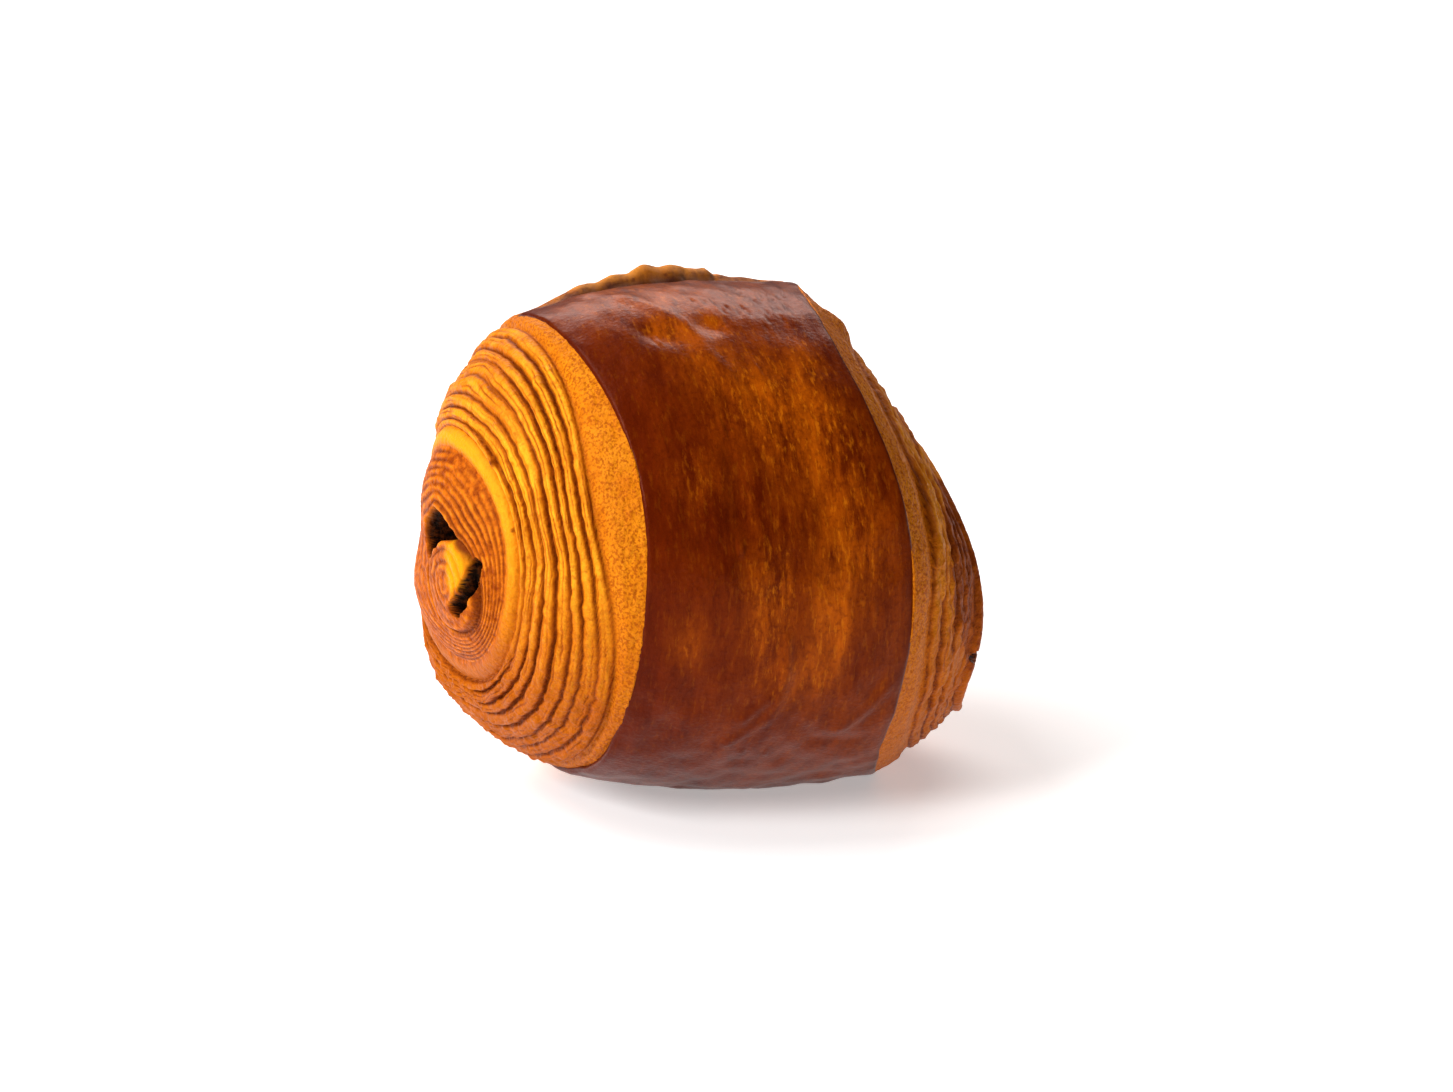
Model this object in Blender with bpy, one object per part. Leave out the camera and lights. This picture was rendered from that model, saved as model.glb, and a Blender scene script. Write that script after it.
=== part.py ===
"""Pain au chocolat: one rolled pastry with a chocolate baton in each of its two tunnels.

Metres, +Z up. The roll runs along X with its open left end at -X. The front faces -Y.
An angle round the roll is 0 at the top, 90 degrees at the front, 180 at the bottom.
"""
import math

import bmesh
import bpy
from mathutils import Matrix, Vector

MM = 0.001

# Section of the roll at the middle of its glazed band: mean radius and its slow waves
BAND_RADIUS = 38.5 * MM
SECTION_WAVES = ((1, 1.16 * MM, -0.12 * MM), (2, 1.51 * MM, 1.67 * MM), (3, 0.88 * MM, -0.67 * MM))
AXIS_HEIGHT = 37.0 * MM
AXIS_FALL = -0.072
AXIS_TURN = -0.0445
BARREL_CURVE = 0.0513
BARREL_REACH = 22.0 * MM
SECTION_GROWTH = 0.67

# Edges of the glazed band: distance from the middle and their slow waves round the roll
LEFT_EDGE = -29.3 * MM
LEFT_EDGE_WAVES = ((1, 1.59 * MM, 3.66 * MM), (2, -1.33 * MM, -1.1 * MM), (3, -1.27 * MM, 0.93 * MM))
LEFT_EDGE_SWELLS = ((300.0, 0.83 * MM), (215.0, 2.33 * MM))
RIGHT_EDGE = 17.66 * MM
RIGHT_EDGE_WAVES = ((1, -4.29 * MM, -4.89 * MM), (2, -0.08 * MM, 0.02 * MM), (3, -1.96 * MM, -1.78 * MM))

# Bulging ends: how far each stands out, how square its shoulder is, where its centre sits
LEFT_BULGE = 14.5 * MM
LEFT_SHOULDER = 4.73
LEFT_CENTRE = (-2.16 * MM, 1.76 * MM)
RIGHT_BULGE = 19.6 * MM
RIGHT_SHOULDER = 2.95
RIGHT_CENTRE = (-4.5 * MM, -17.2 * MM)

# Swelling of the inner turns on the left end, from its foot to its full height as shares of the ring
LEFT_CROWN = 4.4 * MM
CROWN_FOOT = 1.25
CROWN_TOP = 0.45

# Baked base on the back and the spot the roll rests on
BASE_DEPTH = 32.0 * MM
BASE_SOFTNESS = 5.0 * MM
FLOOR_BLOCK = (160.0 * MM, 140.0 * MM, 20.0 * MM)

# Turns of dough on the ends, as shares of the way from the centre to the glazed band
RING_INNER = 0.42
RING_INNER_SWING = 0.065
RING_OUTER = 0.51
RING_OUTER_SWING = 0.055
RING_TURN = math.radians(58.0)
STRIP_START = 0.965
STRIP_DIP = 0.08
STRIP_DIP_ANGLE = 60.0
STRIP_DIP_WIDTH = 33.0
RIGHT_STRIP_START = 0.86
LEFT_LEAVES = (0.0, 0.07, 0.2, 0.345, 0.525, 0.69, 0.79, 0.91, 1.0)
RIGHT_LEAVES = (0.0, 0.22, 0.41, 0.6, 0.8, 1.0)
INNER_TURNS = 3

# Relief of the turns above the smooth end, and how far the smooth skin sits below the crests
SKIN_INSET = 1.1 * MM
TERRACE_HEIGHT = 0.9 * MM
INNER_TURN_HEIGHT = 0.45 * MM
RING_HEIGHT = 0.6 * MM
STRIP_HEIGHT = 0.9 * MM
STRIP_ROUNDING = 0.5
RIGHT_LIP_HEIGHT = 1.0 * MM
RIPPLE = 0.2
RIPPLE_TURN = 0.3
LEAF_POWER = 0.6

# Small egg-shaped inner roll round the lower baton
EGG_CENTRE = (0.185, 0.045)
EGG_SIZE = (0.2, 0.21)
EGG_HEIGHT = 0.8 * MM
EGG_TOP = 0.5
EGG_FOOT = 1.15

# Glaze skin and soft dents of the band
GLAZE_STEP = 0.4 * MM
DENT_HEIGHT = 0.25 * MM
DENT_WAVES = ((3.0, 5.0, 0.0), (5.0, -4.0, 1.0))

# Loose outer end of the dough along the top of the back: angles in degrees, profile in millimetres
CRACK_ANGLE = -9.0
CRACK_WIDTH = 1.8
CRACK_DEPTH = 1.2 * MM
FLAP_RISE = 4.0
FLAP_FALL = 12.0
FLAP_END = -34.0
FLAP_FULL = 1.5 * MM
FLAP_PROFILE = ((-34.0, 0.0), (-27.0, 0.5), (-20.0, 1.4), (-10.0, 2.5), (0.5, 3.0),
                (1.8, 1.2), (8.0, 0.9), (12.5, 0.5), (14.0, 0.0))

# Columns round the skin, in degrees, and rows along it
SEAM_FROM = -34.0
SEAM_TO = -4.0
BACK_FROM = 215.0
COLUMNS_SEAM = 12
COLUMNS_FRONT = 48
COLUMNS_BACK = 12
BAND_ROWS = 7
LEAF_ROWS = (0.0, 0.3, 0.72)
STRIP_ROWS = (0.0, 0.25, 0.6, 0.97)

# Moves the middle of the outer box to the origin
CENTRE_SHIFT = (4.33 * MM, 2.93 * MM)

# Chocolate batons and the tunnels round them
BATON_LENGTH = 76.0 * MM
BATON_WIDTH = 10.0 * MM
BATON_THICKNESS = 3.4 * MM
BATON_ROUNDING = 1.0 * MM
BATON_ROUND_STEPS = 2
BATON_ROUND_PROFILE = 0.5
TUNNEL_GAP = 0.3 * MM
TUNNEL_LENGTH = 130.0 * MM
UPPER_BATON_OFFSET = (-1.8 * MM, 4.2 * MM)
UPPER_BATON_TILT = 5.0
UPPER_BATON_SLIDE = -1.0 * MM
LOWER_BATON_OFFSET = (-11.2 * MM, -1.2 * MM)
LOWER_BATON_TILT = 25.0
LOWER_BATON_SLIDE = 0.6 * MM
HOLLOW_SIDES = 12
HOLLOW_THROAT = 0.45
HOLLOW_DEPTH = 9.0 * MM
HOLLOW_WIDTH = 7.0 * MM
HOLLOW_HEIGHT = 9.0 * MM
HOLLOW_PLACE = 42.0 * MM


def clear_scene():
    for item in list(bpy.data.objects):
        bpy.data.objects.remove(item, do_unlink=True)


def make_collection(name):
    group = bpy.data.collections.new(name)
    bpy.context.scene.collection.children.link(group)
    return group


def crust_material():
    return plain_material("crust", (0.34, 0.10, 0.012, 1.0), 0.42)


def chocolate_material():
    return plain_material("chocolate", (0.022, 0.009, 0.006, 1.0), 0.38)


def plain_material(name, colour, roughness):
    material = bpy.data.materials.new(name)
    material.use_nodes = True
    shader = material.node_tree.nodes["Principled BSDF"]
    shader.inputs["Base Color"].default_value = colour
    shader.inputs["Roughness"].default_value = roughness
    shader.inputs["Metallic"].default_value = 0.0
    return material


def wave_sum(waves, angle):
    total = 0.0
    for order, cosine_part, sine_part in waves:
        total += cosine_part * math.cos(order * angle) + sine_part * math.sin(order * angle)
    return total


def smooth_step(low, high, value):
    share = min(max((value - low) / (high - low), 0.0), 1.0)
    return share * share * (3.0 - 2.0 * share)


def section_radius(along, angle):
    around = BAND_RADIUS + wave_sum(SECTION_WAVES, angle)
    growth = SECTION_GROWTH * along
    barrel = BARREL_CURVE * (along / BARREL_REACH) ** 2
    return around * (1.0 + growth - barrel)


def band_edge(side, angle):
    if side == "left":
        edge = LEFT_EDGE + wave_sum(LEFT_EDGE_WAVES, angle)
        for place, swell in LEFT_EDGE_SWELLS:
            edge += swell * max(math.cos(angle - math.radians(place)), 0.0) ** 2
        return edge
    return RIGHT_EDGE + wave_sum(RIGHT_EDGE_WAVES, angle)


def flatten_base(point):
    start = BASE_DEPTH - BASE_SOFTNESS
    if point.y > start:
        point.y = start + BASE_SOFTNESS * math.tanh((point.y - start) / BASE_SOFTNESS)
    return point


def section_point(along, share, angle, shift):
    radius = share * section_radius(along, angle)
    across = AXIS_TURN * along + shift[0] - radius * math.sin(angle)
    height = AXIS_HEIGHT + AXIS_FALL * along + shift[1] + radius * math.cos(angle)
    return across, height


def crown_height(side, share, angle):
    if side == "right":
        return 0.0
    outer = ring_edges(side, angle)[1]
    return LEFT_CROWN * smooth_step(outer * CROWN_FOOT, outer * CROWN_TOP, share)


def end_point(side, share, angle):
    edge = band_edge(side, angle)
    if side == "left":
        middle, bulge, shoulder, centre = LEFT_EDGE, -LEFT_BULGE, LEFT_SHOULDER, LEFT_CENTRE
    else:
        middle, bulge, shoulder, centre = RIGHT_EDGE, RIGHT_BULGE, RIGHT_SHOULDER, RIGHT_CENTRE
    shift = (centre[0] * (1.0 - share), centre[1] * (1.0 - share))
    across, height = section_point(edge, share, angle, shift)
    along = middle + (edge - middle) * share + bulge * (1.0 - share ** shoulder)
    along -= crown_height(side, share, angle)
    return flatten_base(Vector((along, across, height)))


def band_point(share, angle):
    left = band_edge("left", angle)
    along = left + (band_edge("right", angle) - left) * share
    across, height = section_point(along, 1.0, angle, (0.0, 0.0))
    return flatten_base(Vector((along, across, height)))


def ring_edges(side, angle):
    inner = RING_INNER + RING_INNER_SWING * math.cos(angle - RING_TURN)
    outer = RING_OUTER + RING_OUTER_SWING * math.cos(angle - RING_TURN)
    if side == "left":
        dip = math.degrees(angle) - STRIP_DIP_ANGLE
        strip = STRIP_START - STRIP_DIP * math.exp(-(dip / STRIP_DIP_WIDTH) ** 2)
    else:
        strip = RIGHT_STRIP_START
    return inner, outer, strip


def leaf_rise(share):
    return math.sin(math.pi * min(max(share, 0.0), 1.0)) ** LEAF_POWER


def leaf_edges(side):
    return LEFT_LEAVES if side == "left" else RIGHT_LEAVES


def leaf_place(side, place):
    edges = leaf_edges(side)
    leaf = int(place)
    return edges[leaf] + (edges[leaf + 1] - edges[leaf]) * (place - leaf)


def zone_rows(side):
    rows = [("core", 0.0)]
    for turn in range(INNER_TURNS):
        for step in LEAF_ROWS:
            if turn + step > 0.0:
                rows.append(("core", (turn + step) / INNER_TURNS))
    for step in LEAF_ROWS:
        rows.append(("ring", step))
    for leaf in range(len(leaf_edges(side)) - 1):
        for step in LEAF_ROWS:
            rows.append(("terrace", leaf + step))
    for step in STRIP_ROWS:
        rows.append(("strip", step))
    return rows


def skin_rows():
    rows = []
    for zone, place in zone_rows("left"):
        rows.append(("left", zone, place))
    for step in range(BAND_ROWS + 1):
        rows.append(("band", "band", step / BAND_ROWS))
    for zone, place in reversed(zone_rows("right")):
        rows.append(("right", zone, place))
    return rows


def skin_columns():
    angles = []
    for step in range(COLUMNS_SEAM):
        angles.append(SEAM_FROM + (SEAM_TO - SEAM_FROM) * step / COLUMNS_SEAM)
    for step in range(COLUMNS_FRONT):
        angles.append(SEAM_TO + (BACK_FROM - SEAM_TO) * step / COLUMNS_FRONT)
    for step in range(COLUMNS_BACK):
        angles.append(BACK_FROM + (SEAM_FROM + 360.0 - BACK_FROM) * step / COLUMNS_BACK)
    return [math.radians(angle) for angle in angles]


def row_share(side, zone, place, angle):
    inner, outer, strip = ring_edges(side, angle)
    if zone == "core":
        return inner * place
    if zone == "ring":
        return inner + (outer - inner) * place
    if zone == "terrace":
        return outer + (strip - outer) * leaf_place(side, place)
    return strip + (1.0 - strip) * place


def egg_rise(share, angle):
    across = share * math.sin(angle) - EGG_CENTRE[0]
    down = -share * math.cos(angle) - EGG_CENTRE[1]
    away = math.hypot(across / EGG_SIZE[0], down / EGG_SIZE[1])
    return EGG_HEIGHT * (1.0 - smooth_step(EGG_TOP, EGG_FOOT, away))


def row_rise(side, zone, place, angle):
    if side == "band":
        slow = 0.0
        for around, along, start in DENT_WAVES:
            slow += math.sin(around * angle + along * place + start)
        return STRIP_HEIGHT + GLAZE_STEP + DENT_HEIGHT * slow
    if zone == "core":
        rise = INNER_TURN_HEIGHT * leaf_rise((place * INNER_TURNS) % 1.0)
        if side == "left":
            rise += egg_rise(row_share(side, zone, place, angle), angle)
        return rise + (RIGHT_LIP_HEIGHT if side == "right" else 0.0)
    if zone == "ring":
        lip = RIGHT_LIP_HEIGHT if side == "right" else 0.0
        return RING_HEIGHT * leaf_rise(place) + lip
    if zone == "terrace":
        ripple = 1.0 + RIPPLE * math.cos(2.0 * angle - RIPPLE_TURN + int(place))
        return TERRACE_HEIGHT * ripple * leaf_rise(place % 1.0)
    return STRIP_HEIGHT * smooth_step(0.0, STRIP_ROUNDING, place)


def profile_height(along):
    for (low, low_height), (high, high_height) in zip(FLAP_PROFILE, FLAP_PROFILE[1:]):
        if low <= along / MM <= high:
            share = (along / MM - low) / (high - low)
            return (low_height + (high_height - low_height) * share) * MM
    return 0.0


def flap_rise(along, angle):
    degrees = math.degrees(angle)
    if degrees > 180.0:
        degrees -= 360.0
    height = profile_height(along)
    lift = smooth_step(CRACK_ANGLE, CRACK_ANGLE - FLAP_RISE, degrees)
    fall = smooth_step(FLAP_END, FLAP_END + FLAP_FALL, degrees)
    crack = math.exp(-((degrees - CRACK_ANGLE) / CRACK_WIDTH) ** 2) * min(height / FLAP_FULL, 1.0)
    return height * lift * fall - CRACK_DEPTH * crack


def skin_point(side, zone, place, angle):
    if side == "band":
        return band_point(place, angle)
    return end_point(side, row_share(side, zone, place, angle), angle)


def make_skin(group):
    rows = skin_rows()
    columns = skin_columns()
    mesh = bpy.data.meshes.new("dough")
    shell = bmesh.new()
    bmesh.ops.create_uvsphere(shell, u_segments=len(columns), v_segments=len(rows) - 1, radius=1.0)
    places = {}
    for vertex in shell.verts:
        row = round(math.acos(max(-1.0, min(1.0, -vertex.co.z))) / math.pi * (len(rows) - 1))
        column = round(math.atan2(vertex.co.y, vertex.co.x) / math.tau * len(columns)) % len(columns)
        places[vertex] = (rows[row], columns[column])
    for vertex, ((side, zone, place), angle) in places.items():
        vertex.co = skin_point(side, zone, place, angle)
    if shell.calc_volume(signed=True) < 0.0:
        bmesh.ops.reverse_faces(shell, faces=shell.faces[:])
    shell.normal_update()
    lifted = {}
    for vertex, ((side, zone, place), angle) in places.items():
        rise = row_rise(side, zone, place, angle)
        if zone in ("band", "strip"):
            rise += flap_rise(vertex.co.x, angle)
        lifted[vertex] = vertex.co + vertex.normal * (rise - SKIN_INSET)
    for vertex, point in lifted.items():
        vertex.co = (point.x + CENTRE_SHIFT[0], point.y + CENTRE_SHIFT[1], point.z)
    bmesh.ops.triangulate(shell, faces=shell.faces[:])
    shell.to_mesh(mesh)
    shell.free()
    skin = bpy.data.objects.new("dough", mesh)
    group.objects.link(skin)
    mesh.materials.append(crust_material())
    return skin


def roll_centre(side):
    point = end_point(side, 0.0, 0.0)
    return point + Vector((CENTRE_SHIFT[0], CENTRE_SHIFT[1], 0.0))


def baton_frame(offset, tilt, slide):
    left = roll_centre("left")
    right = roll_centre("right")
    along = (right - left).normalized()
    across = Vector((0.0, 0.0, 1.0)).cross(along).normalized()
    up = along.cross(across)
    middle = (left + right) / 2.0 + across * offset[0] + up * offset[1] + along * slide
    frame = Matrix((along, across, up)).transposed().to_4x4()
    frame.translation = middle
    return frame @ Matrix.Rotation(math.radians(tilt), 4, "X")


def make_bar(name, group, length, width, thickness, rounding, frame):
    bar = bmesh.new()
    bmesh.ops.create_cube(bar, size=1.0)
    bmesh.ops.scale(bar, vec=(length, thickness, width), verts=bar.verts[:])
    bmesh.ops.bevel(bar, geom=bar.edges[:], offset=rounding, segments=BATON_ROUND_STEPS,
                    profile=BATON_ROUND_PROFILE, affect="EDGES")
    bmesh.ops.triangulate(bar, faces=bar.faces[:])
    mesh = bpy.data.meshes.new(name)
    bar.to_mesh(mesh)
    bar.free()
    made = bpy.data.objects.new(name, mesh)
    made.matrix_world = frame
    group.objects.link(made)
    return made


def make_baton(name, group, frame, material):
    baton = make_bar(name, group, BATON_LENGTH, BATON_WIDTH, BATON_THICKNESS, BATON_ROUNDING, frame)
    baton.data.materials.append(material)
    return baton


def make_tunnel(name, group, frame):
    width = BATON_WIDTH + 2.0 * TUNNEL_GAP
    thickness = BATON_THICKNESS + 2.0 * TUNNEL_GAP
    return make_bar(name, group, TUNNEL_LENGTH, width, thickness, BATON_ROUNDING + TUNNEL_GAP, frame)


def make_hollow(name, group, frame, side):
    turn = -1.0 if side == "left" else 1.0
    hollow = bmesh.new()
    bmesh.ops.create_cone(hollow, cap_ends=True, segments=HOLLOW_SIDES,
                          radius1=HOLLOW_THROAT, radius2=1.0, depth=1.0)
    bmesh.ops.rotate(hollow, verts=hollow.verts[:], matrix=Matrix.Rotation(turn * math.pi / 2.0, 3, "Y"))
    size = (HOLLOW_DEPTH, HOLLOW_WIDTH / 2.0, HOLLOW_HEIGHT / 2.0)
    bmesh.ops.scale(hollow, vec=size, verts=hollow.verts[:])
    bmesh.ops.translate(hollow, vec=(turn * HOLLOW_PLACE, 0.0, 0.0), verts=hollow.verts[:])
    bmesh.ops.recalc_face_normals(hollow, faces=hollow.faces[:])
    mesh = bpy.data.meshes.new(name)
    hollow.to_mesh(mesh)
    hollow.free()
    made = bpy.data.objects.new(name, mesh)
    made.matrix_world = frame
    group.objects.link(made)
    return made


def make_floor_block(name, group):
    block = bmesh.new()
    bmesh.ops.create_cube(block, size=1.0)
    bmesh.ops.scale(block, vec=FLOOR_BLOCK, verts=block.verts[:])
    bmesh.ops.translate(block, vec=(0.0, 0.0, -FLOOR_BLOCK[2] / 2.0), verts=block.verts[:])
    mesh = bpy.data.meshes.new(name)
    block.to_mesh(mesh)
    block.free()
    made = bpy.data.objects.new(name, mesh)
    group.objects.link(made)
    return made


def cut(body, cutter):
    step = body.modifiers.new(cutter.name, "BOOLEAN")
    step.operation = "DIFFERENCE"
    step.solver = "EXACT"
    step.object = cutter


def build():
    clear_scene()
    parts = make_collection("pain_au_chocolat")
    cutters = make_collection("cutters")
    upper = baton_frame(UPPER_BATON_OFFSET, UPPER_BATON_TILT, UPPER_BATON_SLIDE)
    lower = baton_frame(LOWER_BATON_OFFSET, LOWER_BATON_TILT, LOWER_BATON_SLIDE)
    dough = make_skin(parts)
    chocolate = chocolate_material()
    make_baton("upper_baton", parts, upper, chocolate)
    make_baton("lower_baton", parts, lower, chocolate)
    tools = [
        make_floor_block("resting_flat", cutters),
        make_tunnel("upper_tunnel", cutters, upper),
        make_tunnel("lower_tunnel", cutters, lower),
        make_hollow("left_hollow", cutters, upper, "left"),
        make_hollow("right_hollow", cutters, upper, "right"),
    ]
    for tool in tools:
        tool.hide_render = True
        tool.display_type = "WIRE"
        cut(dough, tool)


build()
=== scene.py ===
import math

import bpy
import numpy as np
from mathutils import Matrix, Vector


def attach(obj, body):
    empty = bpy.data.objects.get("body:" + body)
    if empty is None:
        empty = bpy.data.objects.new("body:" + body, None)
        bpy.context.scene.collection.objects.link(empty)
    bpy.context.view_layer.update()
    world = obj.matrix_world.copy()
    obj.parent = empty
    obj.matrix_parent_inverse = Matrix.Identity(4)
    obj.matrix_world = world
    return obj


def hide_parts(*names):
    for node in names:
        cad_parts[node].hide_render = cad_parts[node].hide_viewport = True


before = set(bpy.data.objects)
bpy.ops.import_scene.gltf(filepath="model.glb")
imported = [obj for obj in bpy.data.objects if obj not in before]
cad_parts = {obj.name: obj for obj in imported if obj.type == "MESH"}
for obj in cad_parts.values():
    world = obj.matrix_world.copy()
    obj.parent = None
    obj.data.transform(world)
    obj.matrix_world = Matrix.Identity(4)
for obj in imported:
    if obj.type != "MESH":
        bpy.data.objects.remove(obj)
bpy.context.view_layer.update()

print("pastry: frame loaded")

mm = 0.001

# the rolled body, in mm and degrees; waves are (order, cosine part, sine part) round the roll
roll = {
    "radius": 38.5,
    "radiusWaves": ((1, 1.16, -0.12), (2, 1.51, 1.67), (3, 0.88, -0.67)),
    "axisHeight": 37.0,
    "axisFall": -0.072,
    "axisTurn": -0.0445,
    "barrelCurve": 0.0513,
    "barrelReach": 22.0,
    "growth": 0.00067,
    "leftEdge": -29.3,
    "leftEdgeWaves": ((1, 1.59, 3.66), (2, -1.33, -1.1), (3, -1.27, 0.93)),
    "leftEdgeSwells": ((300.0, 0.83), (215.0, 2.33)),
    "rightEdge": 17.66,
    "rightEdgeWaves": ((1, -4.29, -4.89), (2, -0.08, 0.02), (3, -1.96, -1.78)),
    "leftBulge": 14.5,
    "leftShoulder": 4.73,
    "leftCentre": (-2.16, 1.76),
    "leftCrown": 4.4,
    "rightBulge": 19.6,
    "rightShoulder": 2.95,
    "rightCentre": (-4.5, -17.2),
    "baseDepth": 32.0,
    "baseSoftness": 5.0,
    "shift": (4.33, 2.93),
    "inset": 1.1,
    "floorPress": 0.5,
    "frontAngles": (-42.0, 205.0),
}

# where the turns of dough show on the ends, as shares of the way out to the glaze
turns = {
    "crownFoot": 0.51,
    "crownSwing": 0.055,
    "crownTurn": 58.0,
    "crownReach": (1.25, 0.45),
    "ringInner": 0.475,
    "ringInnerSwing": 0.06,
    "ringOuter": 0.562,
    "ringOuterSwing": 0.034,
    "ringTurn": 72.0,
    "stripStart": 0.965,
    "stripDip": 0.08,
    "stripDipAngle": 60.0,
    "stripDipWidth": 33.0,
    "rightStripStart": 0.86,
    "rightStripRise": 0.055,
    "rightStripAngle": 88.0,
    "rightStripWidth": 26.0,
    "leftLeaves": (0.0, 0.07, 0.2, 0.345, 0.525, 0.69, 0.79, 0.91, 1.0),
    "rightLeaves": (0.0, 0.22, 0.41, 0.6, 0.8, 1.0),
    "leafHeight": 1.1,
    "ringHeight": 0.6,
    "stripHeight": 0.9,
    "stripRounding": 0.5,
    "lipHeight": 1.0,
}


def waveSum(waves, angle):
    total = np.zeros_like(angle)
    for order, cosinePart, sinePart in waves:
        total += cosinePart * np.cos(order * angle) + sinePart * np.sin(order * angle)
    return total


def easeStep(low, high, value):
    share = np.clip((value - low) / (high - low), 0.0, 1.0)
    return share * share * (3.0 - 2.0 * share)


def softNoise(x, y, z, seed):
    # smooth lattice noise, about -1 to 1
    table = np.random.RandomState(seed).rand(32, 32, 32)
    xi, yi, zi = np.floor(x).astype(int), np.floor(y).astype(int), np.floor(z).astype(int)
    xf, yf, zf = x - xi, y - yi, z - zi
    xf, yf, zf = xf * xf * (3 - 2 * xf), yf * yf * (3 - 2 * yf), zf * zf * (3 - 2 * zf)
    total = np.zeros_like(x)
    for dx in (0, 1):
        for dy in (0, 1):
            for dz in (0, 1):
                weight = np.where(dx, xf, 1 - xf) * np.where(dy, yf, 1 - yf) * np.where(dz, zf, 1 - zf)
                total += weight * table[(xi + dx) % 32, (yi + dy) % 32, (zi + dz) % 32]
    return total * 2.0 - 1.0


def pointNoise(points, cells, start, seed):
    # cells of the lattice in a mm, one number or one for each axis
    x, y, z = (points * np.array(cells) + start).T
    return softNoise(x, y, z, seed)


def roundNoise(angle, spread, other, seed):
    # noise that closes on itself round the roll
    return softNoise(np.cos(angle) * spread + 90.0, np.sin(angle) * spread + 90.0, other, seed)


def bandEdge(side, angle):
    if side == "left":
        edge = roll["leftEdge"] + waveSum(roll["leftEdgeWaves"], angle)
        for place, swell in roll["leftEdgeSwells"]:
            edge += swell * np.maximum(np.cos(angle - math.radians(place)), 0.0) ** 2
        return edge
    return roll["rightEdge"] + waveSum(roll["rightEdgeWaves"], angle)


def crossRadius(along, angle):
    around = roll["radius"] + waveSum(roll["radiusWaves"], angle)
    return around * (1.0 + roll["growth"] * along - roll["barrelCurve"] * (along / roll["barrelReach"]) ** 2)


def rollPoint(side, place, angle):
    # place is 0 at an end's centre and 1 at the glaze; on the band it runs from the left edge to the right
    if side == "band":
        left = bandEdge("left", angle)
        along = left + (bandEdge("right", angle) - left) * place
        station, share, shiftY, shiftZ = along, np.ones_like(angle), 0.0, 0.0
    else:
        edge = bandEdge(side, angle)
        middle = roll[side + "Edge"]
        bulge = roll[side + "Bulge"] * (-1.0 if side == "left" else 1.0)
        station, share = edge, place
        along = middle + (edge - middle) * share + bulge * (1.0 - np.abs(share) ** roll[side + "Shoulder"])
        if side == "left":
            foot = turns["crownFoot"] + turns["crownSwing"] * np.cos(angle - math.radians(turns["crownTurn"]))
            far, near = turns["crownReach"]
            along = along - roll["leftCrown"] * easeStep(foot * far, foot * near, share)
        shiftY = roll[side + "Centre"][0] * (1.0 - share)
        shiftZ = roll[side + "Centre"][1] * (1.0 - share)
    radius = share * crossRadius(station, angle)
    y = roll["axisTurn"] * station + shiftY - radius * np.sin(angle)
    z = roll["axisHeight"] + roll["axisFall"] * station + shiftZ + radius * np.cos(angle)
    start = roll["baseDepth"] - roll["baseSoftness"]
    y = np.where(y > start, start + roll["baseSoftness"] * np.tanh((y - start) / roll["baseSoftness"]), y)
    return np.stack([along + roll["shift"][0], y + roll["shift"][1], z], -1)


def rollNormal(side, place, angle):
    step = 1e-3
    place = np.maximum(place, 0.02) if side != "band" else place
    outward = rollPoint(side, place + step, angle) - rollPoint(side, place - step, angle)
    around = rollPoint(side, place, angle + step) - rollPoint(side, place, angle - step)
    normal = np.cross(outward, around) * (1.0 if side == "right" else -1.0)
    return normal / np.maximum(np.linalg.norm(normal, axis=-1, keepdims=True), 1e-9)


def endDegrees(angle):
    return (np.degrees(angle) + 60.0) % 360.0 - 60.0


def ringEdges(side, angle):
    # both edges of the pale ring and the inner edge of the plain strip
    swing = np.cos(angle - math.radians(turns["ringTurn"]))
    inner = turns["ringInner"] + turns["ringInnerSwing"] * swing
    outer = turns["ringOuter"] + turns["ringOuterSwing"] * swing
    if side == "left":
        dip = endDegrees(angle) - turns["stripDipAngle"]
        strip = turns["stripStart"] - turns["stripDip"] * np.exp(-(dip / turns["stripDipWidth"]) ** 2)
    else:
        away = endDegrees(angle) - turns["rightStripAngle"]
        swell = turns["rightStripRise"] * np.exp(-(away / turns["rightStripWidth"]) ** 2)
        strip = turns["rightStripStart"] + swell
    return inner, outer, strip


def endCentre(side):
    return rollPoint(side, np.array([0.0]), np.array([0.0]))[0]


def pressOnFloor(points):
    press = roll["floorPress"]
    low = points[:, 2] < press
    points[low, 2] = press * np.exp((points[low, 2] - press) / press)
    return points


def shellColumns(frontCount, backCount):
    # closer columns where the photo looks
    frontFrom, frontTo = roll["frontAngles"]
    front = np.linspace(frontFrom, frontTo, frontCount, endpoint=False)
    back = np.linspace(frontTo, frontFrom + 360.0, backCount, endpoint=False)
    return np.radians(np.concatenate([front, back]))


def deselectAll():
    for item in bpy.context.selected_objects:
        item.select_set(False)


def addSphereShell(name, angles, rowCount):
    # rows run from an end's centre to the hidden middle of the body
    deselectAll()
    bpy.ops.mesh.primitive_uv_sphere_add(segments=len(angles), ring_count=rowCount - 1, radius=1.0)
    piece = bpy.context.active_object
    piece.name = name
    spots = meshPoints(piece)
    rows = np.rint(np.arccos(np.clip(-spots[:, 2], -1, 1)) / math.pi * (rowCount - 1)).astype(int)
    columns = np.rint(np.arctan2(spots[:, 1], spots[:, 0]) / math.tau * len(angles)).astype(int) % len(angles)
    return piece, rows, angles[columns]


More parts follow.
